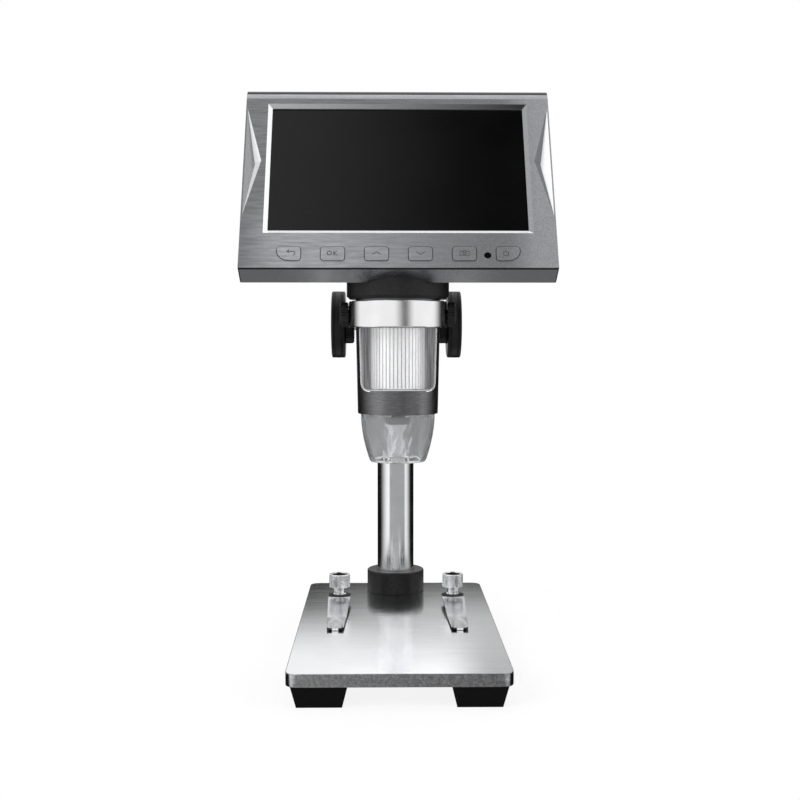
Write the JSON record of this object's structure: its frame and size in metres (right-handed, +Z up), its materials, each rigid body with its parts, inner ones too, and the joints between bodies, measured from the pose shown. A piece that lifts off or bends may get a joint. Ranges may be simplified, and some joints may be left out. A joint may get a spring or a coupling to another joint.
{
  "type": "lcd digital microscope",
  "caption": "Desk microscope with a tilted screen on a tube, held by a rack-focus carriage on a column over a steel base plate with stage clips.",
  "frame": {"origin": "on the table, under the middle of the base plate", "axes": "+Z up, -Y towards the user and the front edge of the plate, +X to the user's right"},
  "size_m": [0.122, 0.168, 0.2342],
  "materials": {
    "steel_plate": "brushed and lacquered",
    "column_chrome": "polished",
    "ring_chrome": "polished",
    "clip_steel": "bright spring steel",
    "screw_steel": "plated",
    "foot_rubber": "matte",
    "black_metal": "satin black anodised",
    "black_plastic": "satin moulded",
    "tube_metal": "dark anodised, fine turned",
    "slide_metal": "dark anodised",
    "gear_brass": "machined",
    "case_grey": "metallic grey paint, fine texture",
    "cover_grey": "dark grey, fine texture",
    "screen_black": "gloss",
    "clear_plastic": "clear moulded",
    "lens_glass": "coated",
    "lens_black": "black anodised",
    "roller_silver": "metallised",
    "board_green": "solder mask",
    "board_white": "white solder mask",
    "lamp_white": "moulded",
    "ribbon": "film",
    "cell_wrap": "shrink film",
    "socket_steel": "plated"
  },
  "bodies": {
    "base": {"base_plate": "steel_plate", "feet": "foot_rubber", "foot_screws": "screw_steel", "column": "column_chrome", "column_collar": "black_metal", "column_screw": "screw_steel", "clip_posts": "screw_steel"},
    "clip_left": {"clip_left": "clip_steel"},
    "clip_right": {"clip_right": "clip_steel"},
    "thumb_screw_left": {"thumb_screw_left": "screw_steel"},
    "thumb_screw_right": {"thumb_screw_right": "screw_steel"},
    "carriage": {"focus_block": "black_metal", "pinion_bushes": "gear_brass"},
    "lock_knob": {"lock_knob": "black_plastic"},
    "pinion": {"pinion_shaft": "screw_steel", "pinion_gear": "gear_brass", "focus_knob_left": "black_plastic", "focus_knob_right": "black_plastic"},
    "slide": {"slide_bar": "slide_metal", "focus_rack": "gear_brass", "holder_arm": "slide_metal", "arm_screws": "screw_steel", "holder_ring": "ring_chrome"},
    "ring_screw_left": {"ring_screw_left": "black_metal"},
    "ring_screw_right": {"ring_screw_right": "black_metal"},
    "head": {"neck_disc": "black_plastic", "neck_screws": "screw_steel", "tube_body": "tube_metal", "retaining_ring": "black_plastic", "sensor_board": "board_green", "sensor_cable": "ribbon", "shroud": "clear_plastic", "led_board": "board_white", "led_lamps": "lamp_white", "front_bezel": "case_grey", "rear_plate": "cover_grey", "rear_cover": "cover_grey", "cover_screws": "screw_steel", "lcd_panel": "screen_black", "screen_cable": "ribbon", "main_board": "board_green", "board_screws": "screw_steel", "battery": "cell_wrap", "button_board": "board_green", "button_switches": "black_plastic", "usb_socket": "socket_steel", "card_socket": "socket_steel", "indicator_lens": "screen_black"},
    "roller": {"focus_roller": "roller_silver"},
    "lens": {"lens_barrel": "lens_black", "objective_lenses": "lens_glass"},
    "dimmer": {"dimmer_wheel": "black_plastic"},
    "button_back": {"button_back": "case_grey"},
    "button_ok": {"button_ok": "case_grey"},
    "button_up": {"button_up": "case_grey"},
    "button_down": {"button_down": "case_grey"},
    "button_capture": {"button_capture": "case_grey"},
    "button_power": {"button_power": "case_grey"}
  },
  "joints": [
    {"name": "column_slide", "type": "slide", "parent": "base", "child": "carriage", "axis": [0, 0, 1], "range_m": [-0.045, 0.018]},
    {"name": "lock_turn", "type": "hinge", "parent": "carriage", "child": "lock_knob", "pos_m": [0, 0.081, 0.1373], "axis": [0, 1, 0], "range_deg": [0, 360]},
    {"name": "rack_slide", "type": "slide", "parent": "carriage", "child": "slide", "axis": [0, 0, 1], "range_m": [-0.015, 0.01]},
    {"name": "pinion_turn", "type": "hinge", "parent": "carriage", "child": "pinion", "pos_m": [0, 0.036, 0.1397], "axis": [1, 0, 0], "range_deg": [-120, 180]},
    {"name": "head_swivel", "type": "hinge", "parent": "slide", "child": "head", "pos_m": [0, -0.025, 0.143], "axis": [0, 0, 1], "range_deg": [-30, 30]},
    {"name": "ring_screw_left_turn", "type": "hinge", "parent": "slide", "child": "ring_screw_left", "pos_m": [-0.021, -0.025, 0.14295], "axis": [-1, 0, 0], "range_deg": [0, 360]},
    {"name": "ring_screw_right_turn", "type": "hinge", "parent": "slide", "child": "ring_screw_right", "pos_m": [0.021, -0.025, 0.14295], "axis": [1, 0, 0], "range_deg": [0, 360]},
    {"name": "roller_turn", "type": "hinge", "parent": "head", "child": "roller", "pos_m": [0, -0.025, 0.126], "axis": [0, 0, 1], "range_deg": [-180, 180]},
    {"name": "lens_slide", "type": "slide", "parent": "head", "child": "lens", "axis": [0, 0, 1], "range_m": [-0.0036, 0.0036]},
    {"name": "dimmer_turn", "type": "hinge", "parent": "head", "child": "dimmer", "pos_m": [-0.0435, -0.02247, 0.17658], "axis": [0, -0.8934, 0.4493], "range_deg": [0, 270]},
    {"name": "clip_left_swivel", "type": "hinge", "parent": "base", "child": "clip_left", "pos_m": [-0.0258, 0.037, 0.016], "axis": [0, 0, 1], "range_deg": [-30, 22]},
    {"name": "clip_right_swivel", "type": "hinge", "parent": "base", "child": "clip_right", "pos_m": [0.0258, 0.037, 0.016], "axis": [0, 0, -1], "range_deg": [-30, 22]},
    {"name": "thumb_screw_left_turn", "type": "hinge", "parent": "base", "child": "thumb_screw_left", "pos_m": [-0.0258, 0.037, 0.022], "axis": [0, 0, 1], "range_deg": [0, 360]},
    {"name": "thumb_screw_right_turn", "type": "hinge", "parent": "base", "child": "thumb_screw_right", "pos_m": [0.0258, 0.037, 0.022], "axis": [0, 0, 1], "range_deg": [0, 360]},
    {"name": "button_back_press", "type": "slide", "parent": "head", "child": "button_back", "axis": [0, 0.8934, -0.4493], "range_m": [0, 0.0005], "stiffness_N_per_m": 600, "springref_m": -0.0001},
    {"name": "button_ok_press", "type": "slide", "parent": "head", "child": "button_ok", "axis": [0, 0.8934, -0.4493], "range_m": [0, 0.0005], "stiffness_N_per_m": 600, "springref_m": -0.0001},
    {"name": "button_up_press", "type": "slide", "parent": "head", "child": "button_up", "axis": [0, 0.8934, -0.4493], "range_m": [0, 0.0005], "stiffness_N_per_m": 600, "springref_m": -0.0001},
    {"name": "button_down_press", "type": "slide", "parent": "head", "child": "button_down", "axis": [0, 0.8934, -0.4493], "range_m": [0, 0.0005], "stiffness_N_per_m": 600, "springref_m": -0.0001},
    {"name": "button_capture_press", "type": "slide", "parent": "head", "child": "button_capture", "axis": [0, 0.8934, -0.4493], "range_m": [0, 0.0005], "stiffness_N_per_m": 600, "springref_m": -0.0001},
    {"name": "button_power_press", "type": "slide", "parent": "head", "child": "button_power", "axis": [0, 0.8934, -0.4493], "range_m": [0, 0.0005], "stiffness_N_per_m": 600, "springref_m": -0.0001}
  ],
  "couplings": [
    {"joint": "pinion_turn", "follows": "rack_slide", "rad_per_m": -208.33},
    {"joint": "roller_turn", "follows": "lens_slide", "rad_per_m": 869.57}
  ]
}
